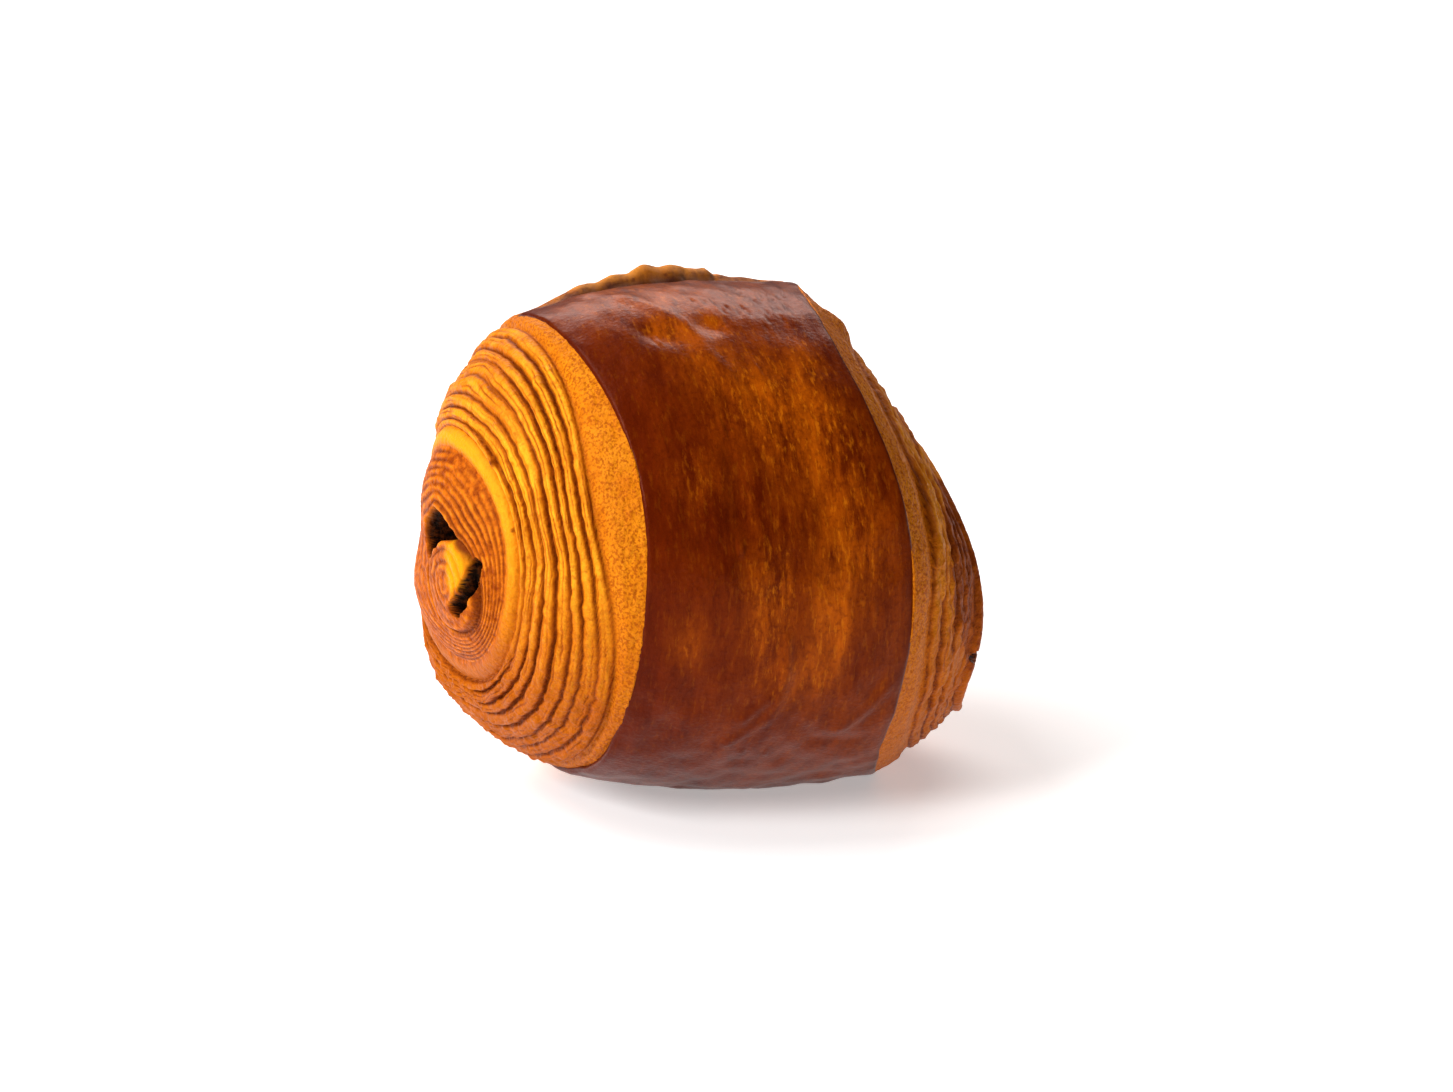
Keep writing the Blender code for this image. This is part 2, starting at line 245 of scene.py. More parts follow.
def addTubeShell(name, angles, rowCount):
    # rows run once round the band's own section
    deselectAll()
    bpy.ops.mesh.primitive_torus_add(
        major_segments=len(angles), minor_segments=rowCount, major_radius=1.0, minor_radius=0.3)
    piece = bpy.context.active_object
    piece.name = name
    spots = meshPoints(piece)
    around = np.hypot(spots[:, 0], spots[:, 1]) - 1.0
    rows = np.rint(np.arctan2(spots[:, 2], around) / math.tau * rowCount).astype(int) % rowCount
    columns = np.rint(np.arctan2(spots[:, 1], spots[:, 0]) / math.tau * len(angles)).astype(int) % len(angles)
    return piece, rows, angles[columns]


def meshPoints(piece):
    flat = np.zeros(len(piece.data.vertices) * 3)
    piece.data.vertices.foreach_get("co", flat)
    return flat.reshape(-1, 3)


def placePoints(piece, points):
    piece.data.vertices.foreach_set("co", (points * mm).ravel())
    piece.data.update()
    deselectAll()
    piece.select_set(True)
    bpy.context.view_layer.objects.active = piece
    bpy.ops.object.mode_set(mode="EDIT")
    bpy.ops.mesh.select_all(action="SELECT")
    bpy.ops.mesh.normals_make_consistent(inside=False)
    bpy.ops.object.mode_set(mode="OBJECT")
    bpy.ops.object.shade_smooth()


def paint(piece, name, red, green, blue):
    layer = piece.data.color_attributes.new(name=name, type="FLOAT_COLOR", domain="POINT")
    values = np.stack([red, green, blue, np.ones_like(red)], -1)
    layer.data.foreach_set("color", np.clip(values, 0.0, 1.0).ravel())


def leafBands(share, edges):
    # number of the leaf at each place and how far across that leaf the place lies
    edges = np.array(edges)
    number = np.clip(np.searchsorted(edges, share, side="right") - 1, 0, len(edges) - 2)
    across = (share - edges[number]) / (edges[number + 1] - edges[number])
    return number, np.clip(across, 0.0, 1.0)


# marks of the left end, in mm from its centre (towards the front, up)
leftEnd = {
    "columns": (270, 50),
    "faceRows": 296,
    "tuckRows": 8,
    "hollow": ((2.3, 8.6), (5.0, 7.5), (8.0, 5.7), (4.6, 4.5), (1.9, 2.6), (0.6, 0.9),
               (-1.6, 0.9), (-2.5, 2.6), (-1.2, 5.8)),
    "hollowDepth": 9.0,
    "egg": (6.3, -2.1),
    "eggSize": (7.4, 7.8),
    "eggHeight": 1.0,
    "eggTurns": 4.3,
    "eggGroove": 0.06,
    "yolk": ((7.8, 5.6), (12.0, 2.8), (11.3, 0.0), (9.5, -3.6), (7.6, -1.6), (6.4, 1.5), (5.2, 3.6)),
    "slit": ((12.9, 2.6), (12.3, 0.0), (11.0, -2.7), (9.2, -4.9)),
    "slitWidth": 1.05,
    "slitDepth": 5.0,
    "relief": 0.78,
    "wander": 1.1,
    "rough": 0.35,
    "ruffle": 1.0,
    "calmBelow": 0.0,
    "knots": ((11.2, 17.2, 0.6), (17.3, 8.7, 0.35)),
    "fineTurns": 7.5,
    "fineHeight": 0.2,
    "rimPlace": 0.05,
    "rimDepth": 2.4,
    "middleDepth": 9.0,
    "seed": 11,
}


# right end, mostly hidden: the same turns, coarser and browner; the bump is (share, degrees, height) and
# the mouths are (towards the front, up, half width, half height, depth)
rightEnd = {
    "columns": (240, 70),
    "faceRows": 170,
    "tuckRows": 8,
    "relief": 0.6,
    "wander": 2.0,
    "rough": 0.9,
    "ruffle": 0.2,
    "calmBelow": 0.5,
    "bump": (0.91, 9.5, 1.3),
    "bumpSize": (0.05, 3.5),
    "batonMouths": ((1.9, 10.3, 3.6, 4.4, 6.5), (12.8, 4.2, 5.2, 1.9, 4.5)),
    "brownAngles": (-60.0, 15.0, 40.0, 75.0, 90.0, 105.0, 125.0, 150.0, 300.0),
    "brownShares": (0.45, 0.45, 0.66, 0.81, 0.78, 0.65, 0.48, 0.45, 0.45),
    "fineTurns": 7.0,
    "fineHeight": 0.3,
    "rimPlace": 0.95,
    "rimDepth": 2.4,
    "middleDepth": 9.0,
    "seed": 51,
}


def segmentDistance(a, b, start, end):
    runA, runB = end[0] - start[0], end[1] - start[1]
    share = np.clip(((a - start[0]) * runA + (b - start[1]) * runB) / (runA ** 2 + runB ** 2), 0.0, 1.0)
    return np.hypot(a - start[0] - runA * share, b - start[1] - runB * share)


def polygonDistance(a, b, corners):
    # negative inside
    away = np.full_like(a, 1e9)
    inside = np.zeros(a.shape, bool)
    for (a1, b1), (a2, b2) in zip(corners, corners[1:] + corners[:1]):
        away = np.minimum(away, segmentDistance(a, b, (a1, b1), (a2, b2)))
        crosses = (b1 > b) != (b2 > b)
        inside ^= crosses & (a < (a2 - a1) * (b - b1) / (b2 - b1 + 1e-12) + a1)
    return np.where(inside, -away, away)


def lineDistance(a, b, stops):
    away = np.full_like(a, 1e9)
    for start, end in zip(stops, stops[1:]):
        away = np.minimum(away, segmentDistance(a, b, start, end))
    return away


def leftCore(a, b, share, inner, noise, own):
    # inner turns: a small egg shaped roll, the hollow above it and the thin lines wrapped round both
    ripple, drift, fine = noise["ripple"] + 0.9 * noise["slow"], noise["drift"], noise["fine"]
    eggAway = np.hypot((a - own["egg"][0]) / own["eggSize"][0], (b - own["egg"][1]) / own["eggSize"][1])
    hollowEdge = polygonDistance(a, b, own["hollow"])
    hollowAway = hollowEdge + 0.22 * fine - 0.15
    slitAway = lineDistance(a, b, own["slit"]) + 0.3 * fine
    inEgg = eggAway < 1.0
    wrap = np.maximum(np.minimum((eggAway - 1.0) * own["eggSize"][1], hollowEdge), 0.0)
    out = np.maximum((inner - share) * roll["radius"], 0.0)
    phase = wrap / (wrap + out + 1e-6) * own["fineTurns"] + 0.22 * ripple
    eggPhase = eggAway * own["eggTurns"] + 0.22 * ripple
    fineLine = np.abs(np.sin(math.pi * np.where(inEgg, eggPhase, phase))) ** 0.9
    weight = np.clip(0.75 + 0.5 * drift + 0.45 * ripple, 0.15, 1.4)
    rise = own["fineHeight"] * (fineLine - 0.6) * weight + 0.25
    rise += np.where(inEgg, own["eggHeight"] * np.sqrt(np.clip(1.0 - eggAway ** 2, 0.0, 1.0)), 0.0)
    rise += 0.3 * np.exp(-((hollowAway - 0.6) / 0.5) ** 2) * np.where(inEgg, 0.3, 1.0)
    groove = np.exp(-((eggAway - 1.0) / own["eggGroove"]) ** 2)
    rise -= 0.4 * groove
    inHollow = 1.0 - easeStep(-0.8, 0.25, hollowAway)
    slitWidth = own["slitWidth"] * (1.0 + 0.25 * easeStep(0.0, -4.0, b))
    inSlit = 1.0 - easeStep(slitWidth * 0.7, slitWidth * 1.05, slitAway)
    sink = own["hollowDepth"] * inHollow + own["slitDepth"] * inSlit
    # painted shade in the grooves of the fine lines and round the egg
    furrowShadeAndBrowning = np.clip((1.0 - fineLine) ** 1.1 * 0.8 * weight + 0.14 + 0.14 * drift + 0.9 * groove, 0.0, 1.0)
    # painted highlight on the crests of the fine lines
    light = np.clip(fineLine ** 6 * (0.3 + 0.7 * fine + 0.3 * drift), 0.0, 0.8)
    yolk = easeStep(0.4, -1.2, polygonDistance(a, b, own["yolk"]) + 0.5 * fine)
    yolk = yolk * (1.0 - inSlit) * (1.0 - 0.35 * furrowShadeAndBrowning)
    # painted shade in the hollow and the slit
    openingShade = np.clip(inHollow * 14.0 + inSlit * 14.0, 0.0, 1.0)
    rise = rise * easeStep(1.0, 0.9, share / inner)
    return {"rise": rise, "sink": sink, "furrowShadeAndBrowning": furrowShadeAndBrowning, "yolk": yolk, "openingShade": openingShade, "light": light}


def rightCore(weights, a, b, share, angle, inner, outer, noise, own):
    # browner middle of the hidden end, with its lip, its baton mouths and one bump at the top
    degrees, fine = endDegrees(angle), noise["fine"]
    inCore = share < inner
    phase = share / inner * own["fineTurns"] + angle / math.tau + 0.25 * noise["ripple"]
    fineLine = np.abs(np.sin(math.pi * phase)) ** 0.7
    weights["rise"] = np.where(inCore, own["fineHeight"] * fineLine, weights["rise"])
    weights["rise"] += turns["lipHeight"] * easeStep(outer + 0.02, outer - 0.02, share)
    reach = np.interp(degrees, own["brownAngles"], own["brownShares"])
    brown = np.maximum(weights["brown"], easeStep(reach + 0.02, reach - 0.02, share + 0.02 * fine))
    furrowShadeAndBrowning = np.where(inCore, 0.7 * (1.0 - fineLine), weights["furrowShadeAndBrowning"])
    weights["furrowShadeAndBrowning"] = np.clip(furrowShadeAndBrowning * 0.8 + 0.55 * brown, 0, 1)
    weights["brown"] = brown
    weights["pale"] = weights["pale"] * (1.0 - brown)
    # the hidden right end a deeper tone overall
    weights["deepTone"] = np.clip(weights["deepTone"] + 0.3, 0, 1)
    for holeA, holeB, wide, tall, depth in own["batonMouths"]:
        away = np.hypot((a - holeA) / wide, (b - holeB) / tall) + 0.07 * fine
        opening = 1.0 - easeStep(0.85, 1.05, away)
        weights["sink"] = np.maximum(weights["sink"], depth * opening)
        # painted shade in the baton mouths
        weights["openingShade"] = np.maximum(weights["openingShade"], np.clip(opening * 10.0, 0.0, 1.0))
    bumpShare, bumpAngle, bumpHeight = own["bump"]
    wide, tall = own["bumpSize"]
    bump = np.exp(-((share - bumpShare) / wide) ** 2 - ((degrees - bumpAngle) / tall) ** 2)
    weights["rise"] += bumpHeight * bump


def endTexture(skin, share, angle, seed):
    return {
        "ripple": roundNoise(angle, 4.0, share * 9.0, seed),
        "slow": roundNoise(angle, 1.6, share * 6.0, seed + 7),
        "drift": pointNoise(skin, 0.12, 50, seed + 1),
        "fine": pointNoise(skin, 0.9, 90, seed + 2),
        "grain": pointNoise(skin, 2.3, 90, seed + 4),
        "coarse": pointNoise(skin, 0.45, 90, seed + 9),
        "streak": roundNoise(angle, 7.0, share * 55.0, seed + 5),
        "serrated": roundNoise(angle, 26.0, share * 14.0, seed + 6),
    }


def leafRelief(side, leafShare, angle, ruffled, noise, own):
    # height, painted shade in the furrows and painted highlight on the crests of the leaves between the pale
    # ring and the plain strip
    ripple, fine, streak, serrated = (noise[key] for key in ("ripple", "fine", "streak", "serrated"))
    degrees, seed = endDegrees(angle), own["seed"]
    calm = easeStep(0.0, 0.08, leafShare) * easeStep(1.0, 0.92, leafShare)
    wander = own["wander"] * (0.022 * ripple + 0.03 * noise["slow"] + 0.008 * fine)
    wander = wander + (0.003 + 0.013 * ruffled * own["ruffle"]) * serrated
    number, across = leafBands(np.clip(leafShare + wander * calm, 0, 0.99999), turns[side + "Leaves"])
    leaf = 1.0 - np.abs(2.0 * across - 1.0) ** 3.4
    tread = 0.82 + 0.3 * across
    deep = 0.85 + 0.2 * np.cos(2.0 * angle - 0.3 + number)
    deep = deep + 0.5 * roundNoise(angle, 2.2, number * 3.7, seed + 3) + 0.25 * ruffled
    deep = np.clip(deep, 0.3, 1.45)
    lines = np.abs(np.sin(math.pi * (across * 3.0 + 0.5 * ripple + number * 0.37))) ** 0.5
    faint = np.clip(0.75 + 0.9 * roundNoise(angle, 5.0, number * 2.3 + across * 3.0, seed + 8), 0.0, 1.4)
    rise = own["relief"] * turns["leafHeight"] * deep * leaf * tread - 0.15 * (1.0 - lines) * leaf * faint
    rise += own["ruffle"] * ruffled * (0.12 * serrated + 0.22 * fine + 0.12 * noise["grain"]) * leaf
    rise *= 1.0 - own["calmBelow"] * ruffled
    rise += 0.05 * streak + own["rough"] * (0.22 * noise["coarse"] + 0.16 * fine + 0.2 * streak)
    # painted shade in the furrows between the leaves, with the browner layer edges
    furrowShadeAndBrowning = np.clip((1.0 - leaf) * 1.3, 0, 1) ** 1.2 * np.clip(deep * 1.2, 0.6, 1.4)
    furrowShadeAndBrowning = np.maximum(furrowShadeAndBrowning, 0.85 * (1.0 - lines) * faint)
    # furrow shade deeper towards the bottom
    furrowShadeAndBrowning *= 1.0 + 0.45 * easeStep(85.0, 130.0, degrees) * easeStep(265.0, 220.0, degrees)
    # painted highlight along the crest of each leaf
    highlightAndGrain = np.clip(np.sin(math.pi * across) ** 1.5 * (0.75 + 0.5 * fine), 0, 1)
    return rise, furrowShadeAndBrowning, highlightAndGrain


def stripRelief(share, strip, noise):
    # plain grainy strip beside the glaze, with painted shade in the groove at its inner edge
    stripShare = np.clip((share - strip) / (1.0 - strip), 0.0, 1.0)
    rise = turns["stripHeight"] * easeStep(0.0, turns["stripRounding"], stripShare)
    rise = rise + 0.08 * noise["drift"] + 0.06 * noise["streak"] + 0.07 * noise["grain"]
    return rise, 0.85 * easeStep(0.16, 0.0, stripShare)


def ringRelief(share, inner, outer, angle, noise):
    # smooth pale ring: height, painted shade at its edges, pale share with painted light towards the top and
    # brown share with painted shade below
    streak = noise["streak"]
    ringShare = np.clip((share - inner) / (outer - inner), 0.0, 1.0)
    arch = np.sin(math.pi * ringShare)
    rise = turns["ringHeight"] * arch ** 0.7 + 0.05 * noise["ripple"]
    furrowShadeAndBrowning = 0.35 * (1.0 - arch) * (0.5 + 0.5 * streak)
    # painted light: the ring paler at the top and browner below, as if lit from above
    paintedTopLight = np.clip(0.32 + 0.74 * np.cos(angle - math.radians(12.0)), 0.06, 1.0) * (0.85 + 0.3 * streak)
    innerFade = 0.85 * easeStep(0.42, 0.0, ringShare + 0.12 * noise["fine"])
    return rise, furrowShadeAndBrowning, arch ** 0.9 * paintedTopLight, np.maximum(0.35 * (1.0 - paintedTopLight), innerFade)


def deepTonePlaces(angle, ruffled, noise):
    # darker towards the bottom, over the ragged lower part and towards the top back, with noise
    degrees = endDegrees(angle)
    deepTone = 1.1 * ruffled + 0.55 * easeStep(60.0, 110.0, degrees) * easeStep(265.0, 230.0, degrees)
    deepTone += 0.4 * np.clip(np.cos(angle + 0.9), 0, 1) ** 2
    return deepTone + 0.3 * np.clip(noise["drift"] + 0.4 * noise["coarse"], 0, 1)


def addKnots(weights, a, b, own):
    for knotA, knotB, size in own["knots"]:
        knot = np.exp(-((a - knotA) ** 2 + (b - knotB) ** 2) / size ** 2)
        weights["rise"] += 0.5 * knot * size
        weights["furrowShadeAndBrowning"] = np.maximum(weights["furrowShadeAndBrowning"], knot)


def endRelief(side, share, angle, own):
    # height over the smooth skin, depth of the openings and the colour weights of every place of an end
    inner, outer, strip = ringEdges(side, angle)
    skin = rollPoint(side, share, angle)
    centre = endCentre(side)
    a = -(skin[:, 1] - centre[1])
    b = skin[:, 2] - centre[2]
    degrees = endDegrees(angle)
    noise = endTexture(skin, share, angle, own["seed"])
    ruffled = easeStep(105.0, 140.0, degrees) * easeStep(235.0, 205.0, degrees)
    leafShare = (share - outer) / (strip - outer)
    inLeaves = (leafShare >= 0.0) & (leafShare < 1.0)
    inStrip = leafShare >= 1.0
    inRing = (share >= inner) & (share < outer)
    inCore = share < inner
    leafRise, leafFurrowShade, leafHighlight = leafRelief(side, leafShare, angle, ruffled, noise, own)
    stripRise, stripEdgeShade = stripRelief(share, strip, noise)
    ringRise, ringEdgeShade, ringPale, ringBrown = ringRelief(share, inner, outer, angle, noise)
    zones = [inLeaves, inStrip, inRing]
    weights = {
        "rise": np.select(zones, [leafRise, stripRise, ringRise], 0.0),
        "furrowShadeAndBrowning": np.select(zones, [leafFurrowShade, stripEdgeShade, ringEdgeShade], 0.0),
        "pale": np.where(inRing, ringPale, 0.0),
        "brown": np.where(inCore, 1.0, 0.0) + np.where(inRing, ringBrown, 0.0),
        "deepTone": deepTonePlaces(angle, ruffled, noise),
        "strip": np.where(inStrip, 1.0, 0.0),
        "streak": 0.5 + 0.5 * noise["streak"],
    }
    for key in ("sink", "yolk", "openingShade", "light"):
        weights[key] = np.zeros_like(share)
    if side == "left":
        core = leftCore(a, b, share, inner, noise, own)
        for key, value in core.items():
            weights[key] = np.where(inCore, value, weights[key])
        addKnots(weights, a, b, own)
    else:
        rightCore(weights, a, b, share, angle, inner, outer, noise, own)

    highlightAndGrain = np.where(inLeaves, leafHighlight, 0.0) * (1.0 - 0.7 * weights["deepTone"])
    # on the plain strip the same weight carries lighter grain, not light
    highlightAndGrain = highlightAndGrain + np.where(inStrip, 0.5 * np.clip(0.45 + noise["streak"] + noise["coarse"], 0, 1), 0.0)
    weights["highlightAndGrain"] = np.where(inCore, weights["light"], highlightAndGrain * (1.0 - weights["brown"]))
    weights["rise"] = weights["rise"] + 0.06 * noise["fine"] + 0.10 * noise["drift"] + 0.05 * noise["grain"]
    return weights


# loose end of the dough along the top of the back; angles in degrees, lengths in mm
seam = {
    "crackAngle": -9.0,
    "crackWidth": 2.2,
    "crackDepth": 1.2,
    "rise": 4.0,
    "fall": 12.0,
    "end": -34.0,
    "full": 1.5,
    "profileAlong": (-34.0, -27.0, -20.0, -10.0, 0.5, 1.8, 8.0, 12.5, 14.0),
    "profileHeight": (0.0, 0.5, 1.4, 2.5, 3.0, 1.2, 0.9, 0.5, 0.0),
    "bareWidth": 3.0,
    "bareEnd": (-175.0, -160.0),
    "seed": 71,
}


def flapRise(along, angle):
    # height of the loose end with its crack and layers, the painted shade in the crack and between the
    # layers, and how fully it is lifted
    degrees = (np.degrees(angle) + 180.0) % 360.0 - 180.0
    place = along - roll["shift"][0]
    ragged = softNoise(place * 0.13 + 50, place * 0.0, degrees * 0.05 + 50, seam["seed"])
    chips = softNoise(place * 0.4 + 50, place * 0.0, degrees * 0.9 + 50, seam["seed"] + 1)
    height = np.interp(place, seam["profileAlong"], seam["profileHeight"])
    full = np.clip(height / seam["full"], 0.0, 1.0)
    nicks = softNoise(place * 0.42 + 50, place * 0.0, place * 0.0, seam["seed"] + 2)
    height = height * (1.0 + 0.12 * ragged) + (0.12 * chips + 0.4 * nicks) * full
    edge = seam["crackAngle"] + (1.6 * ragged + 0.5 * chips) * full
    lift = easeStep(edge, edge - seam["rise"], degrees)
    fall = easeStep(seam["end"], seam["end"] + seam["fall"], degrees)
    # painted shade in the crack under the loose end
    crack = np.exp(-((degrees - edge + 1.3 + 0.9 * chips) / seam["crackWidth"]) ** 2) * full
    layers = np.abs(np.sin(math.pi * (lift * 2.6 + 0.6 * ragged + 0.15 * chips)))
    height = height * lift * fall + 0.45 * (layers - 0.5) * lift * (1.0 - lift) * 4.0 * full
    # painted shade between the lifted layers
    layered = np.clip((1.0 - layers) * (1.0 - lift) * 4.0 * lift, 0.0, 1.0) * full
    return height - seam["crackDepth"] * crack, np.maximum(crack, layered), lift * fall * full


def buildEnd(side, own):
    angles = shellColumns(*own["columns"])
    faceRows = own["faceRows"]
    piece, rows, angle = addSphereShell(side + "_turns", angles, faceRows + own["tuckRows"])
    share = np.clip(rows / (faceRows - 1.0), 0.0, 1.0)
    weights = endRelief(side, share, angle, own)
    normal = rollNormal(side, share, angle)
    points = rollPoint(side, share, angle) + normal * (weights["rise"] - roll["inset"])[:, None]
    # painted shade of the crack carried onto the plain strip
    flap, crack = flapRise(points[:, 0], angle)[:2]
    weights["furrowShadeAndBrowning"] = np.maximum(weights["furrowShadeAndBrowning"], crack * weights["strip"])
    points += normal * (flap * weights["strip"])[:, None]
    inward = 1.0 if side == "left" else -1.0
    axis = endCentre("right") - endCentre("left")
    axis = axis / np.linalg.norm(axis) * inward
    points += axis[None, :] * weights["sink"][:, None]

    # hidden rows run under the band's edge to the middle of the body
    tuck = np.clip((rows - faceRows + 1.0) / own["tuckRows"], 0.0, 1.0)
    inside = rows >= faceRows
    bandPlace = np.full_like(angle, own["rimPlace"])
    rim = rollPoint("band", bandPlace, angle) - rollNormal("band", bandPlace, angle) * own["rimDepth"]
    middleX = roll[side + "Edge"] + roll["shift"][0] + own["middleDepth"] * inward
    middle = np.array([middleX, roll["shift"][1], roll["axisHeight"]])
    hidden = rim * (1.0 - tuck[:, None]) + middle * tuck[:, None]
    points = np.where(inside[:, None], hidden, points)
    placePoints(piece, pressOnFloor(points))
    paint(piece, "turns", weights["furrowShadeAndBrowning"], weights["brown"], weights["pale"])
    paint(piece, "marks", weights["yolk"], weights["strip"], weights["openingShade"])
    paint(piece, "toneAndHighlight", weights["deepTone"], weights["streak"], weights["highlightAndGrain"])
    return piece


# glazed band; places are (share across, degrees round), sizes in mm; folds are (places, height, width),
# hollows (place, half width, half height, depth), blisters (place, size) and
# glows (place, half width as a share, half height in degrees, amount), amber where the glaze is thin and
# painted sheen in the broad one along the top
glaze = {
    "columns": (340, 90),
    "outerRows": 196,
    "width": 47.0,
    "degreeLength": 0.67,
    "step": 0.4,
    "dentHeight": 0.25,
    "dentWaves": ((3.0, 5.0, 0.0), (5.0, -4.0, 1.0)),
    "softDents": 0.34,
    "smallDents": 0.18,
    "lowDents": 0.16,
    "peel": 0.055,
    "finePeel": 0.02,
    "folds": (
        (((0.16, -8.0), (0.27, 2.3), (0.37, 11.7), (0.42, 17.7), (0.458, 22.3),
          (0.456, 29.0), (0.49, 33.0), (0.485, 38.0)), 0.26, 1.7),
        (((0.515, 94.7), (0.528, 106.0), (0.518, 113.0), (0.498, 117.0), (0.388, 126.0)), 0.36, 1.2),
        (((0.488, 109.7), (0.418, 116.7)), 0.3, 0.8),
        (((0.93, 108.0), (0.86, 116.0), (0.78, 121.0)), 0.28, 1.1),
        (((0.455, 40.0), (0.391, 46.0), (0.365, 56.0), (0.341, 67.0)), -0.18, 1.8),
        (((0.62, 117.0), (0.7, 124.0), (0.86, 126.0)), -0.4, 1.6),
        (((0.86, 99.5), (0.91, 100.5)), -0.15, 0.2),
    ),
    "hollows": ((0.331, 21.7, 4.0, 2.2, 0.7), (0.538, 20.7, 2.6, 1.6, 0.6), (0.66, 62.0, 6.0, 9.0, 0.5)),
    "blisters": (
        (0.371, 47.0, 0.75), (0.334, 73.3, 0.8), (0.194, 80.0, 0.7), (0.836, 87.0, 0.7),
        (0.452, 130.3, 0.8), (0.378, 61.3, 0.6), (0.3, 23.5, 0.7), (0.45, 19.5, 0.5), (0.36, 30.0, 0.8),
        (0.62, 33.0, 0.6), (0.12, 60.0, 0.5), (0.55, 131.0, 0.6),
    ),
    "pitPlace": (0.78, 13.0),
    "pitSpread": (5.5, 3.2),
    "pitSize": (0.32, 0.22),
    "pitCount": 42,
    "pitDepth": 0.28,
    "glows": (
        (0.58, 44.0, 0.13, 14.0, 0.42), (0.77, 46.0, 0.13, 16.0, 0.4), (0.76, 72.0, 0.10, 12.0, 0.4),
        (0.44, 86.0, 0.07, 13.0, 0.5), (0.83, 71.0, 0.022, 7.0, 0.5), (0.72, 92.0, 0.02, 6.0, 0.5),
        (0.5, 79.0, 0.02, 6.0, 0.4), (0.42, 30.0, 0.1, 12.0, 0.22), (0.66, 90.0, 0.08, 14.0, 0.4),
        (0.21, 58.0, 0.10, 8.0, 0.15), (0.15, 95.0, 0.06, 6.0, 0.25), (0.85, 30.0, 0.05, 5.0, 0.3),
        # the broad glow at (0.4, 6.0) is painted sheen along the top
        (0.331, 21.7, 0.07, 4.0, 0.4), (0.538, 20.7, 0.05, 3.0, 0.45), (0.4, 6.0, 0.45, 12.0, 0.3),
        (0.55, 104.0, 0.12, 6.0, 0.2),
    ),
    "seed": 31,
}


def glazePits(across, around, own):
    pits = np.zeros_like(across)
    spots = np.random.RandomState(own["seed"] + 3)
    for number in range(own["pitCount"]):
        pitAcross = own["pitPlace"][0] * own["width"] + spots.randn() * own["pitSpread"][0]
        pitAround = own["pitPlace"][1] * own["degreeLength"] + spots.randn() * own["pitSpread"][1]
        size = own["pitSize"][0] + own["pitSize"][1] * spots.rand()
        pits = np.maximum(pits, np.exp(-((across - pitAcross) ** 2 + (around - pitAround) ** 2) / size ** 2))
    return pits


def bandRelief(place, angle, own):
    skin = rollPoint("band", place, angle)
    seed, width, degreeLength = own["seed"], own["width"], own["degreeLength"]
    degrees = (np.degrees(angle) + 180.0) % 360.0 - 180.0
    across, around = place * width, degrees * degreeLength
    rise = np.full_like(place, turns["stripHeight"] + own["step"])
    for turnsRound, turnsAcross, start in own["dentWaves"]:
        rise += own["dentHeight"] * np.sin(turnsRound * angle + turnsAcross * place + start)
    rise += own["softDents"] * pointNoise(skin, (0.09, 0.09, 0.07), 60, seed)
    low = easeStep(100.0, 116.0, degrees)
    rise += (own["smallDents"] + own["lowDents"] * low) * pointNoise(skin, (0.3, 0.3, 0.2), 70, seed + 1)
    rise += own["peel"] * pointNoise(skin, 0.7, 70, seed + 2)
    rise += own["finePeel"] * pointNoise(skin, 1.7, 70, seed + 5)
    for stops, height, wide in own["folds"]:
        line = [(stop[0] * width, stop[1] * degreeLength) for stop in stops]
        rise += height * np.exp(-(lineDistance(across, around, line) / wide) ** 2)
    for share, spin, wide, tall, depth in own["hollows"]:
        awayAcross, awayAround = across - share * width, around - spin * degreeLength
        rise -= depth * np.exp(-(awayAcross / wide) ** 2 - (awayAround / tall) ** 2)
    for share, spin, size in own["blisters"]:
        away = np.hypot(across - share * width, around - spin * degreeLength) / size
        rise += 0.28 * size * np.exp(-away ** 4) - 0.1 * np.exp(-((away - 1.2) / 0.2) ** 2)
    pits = glazePits(across, around, own)
    return rise - own["pitDepth"] * pits, pits, degrees


def bandProfile(rowCount):
    # section of the band, once round: (share across, drop under the surface in mm)
    outer = [(share, 0.0) for share in np.linspace(0.004, 0.996, rowCount)]
    rightRoll = [(1.003, -0.08), (1.007, -0.3), (1.007, -0.7), (1.002, -1.4)]
    under = [(share, -2.2) for share in np.linspace(0.96, 0.04, 6)]
    leftRoll = [(-0.002, -1.4), (-0.007, -0.7), (-0.007, -0.3), (-0.003, -0.08)]
    return np.array(outer + rightRoll + under + leftRoll)


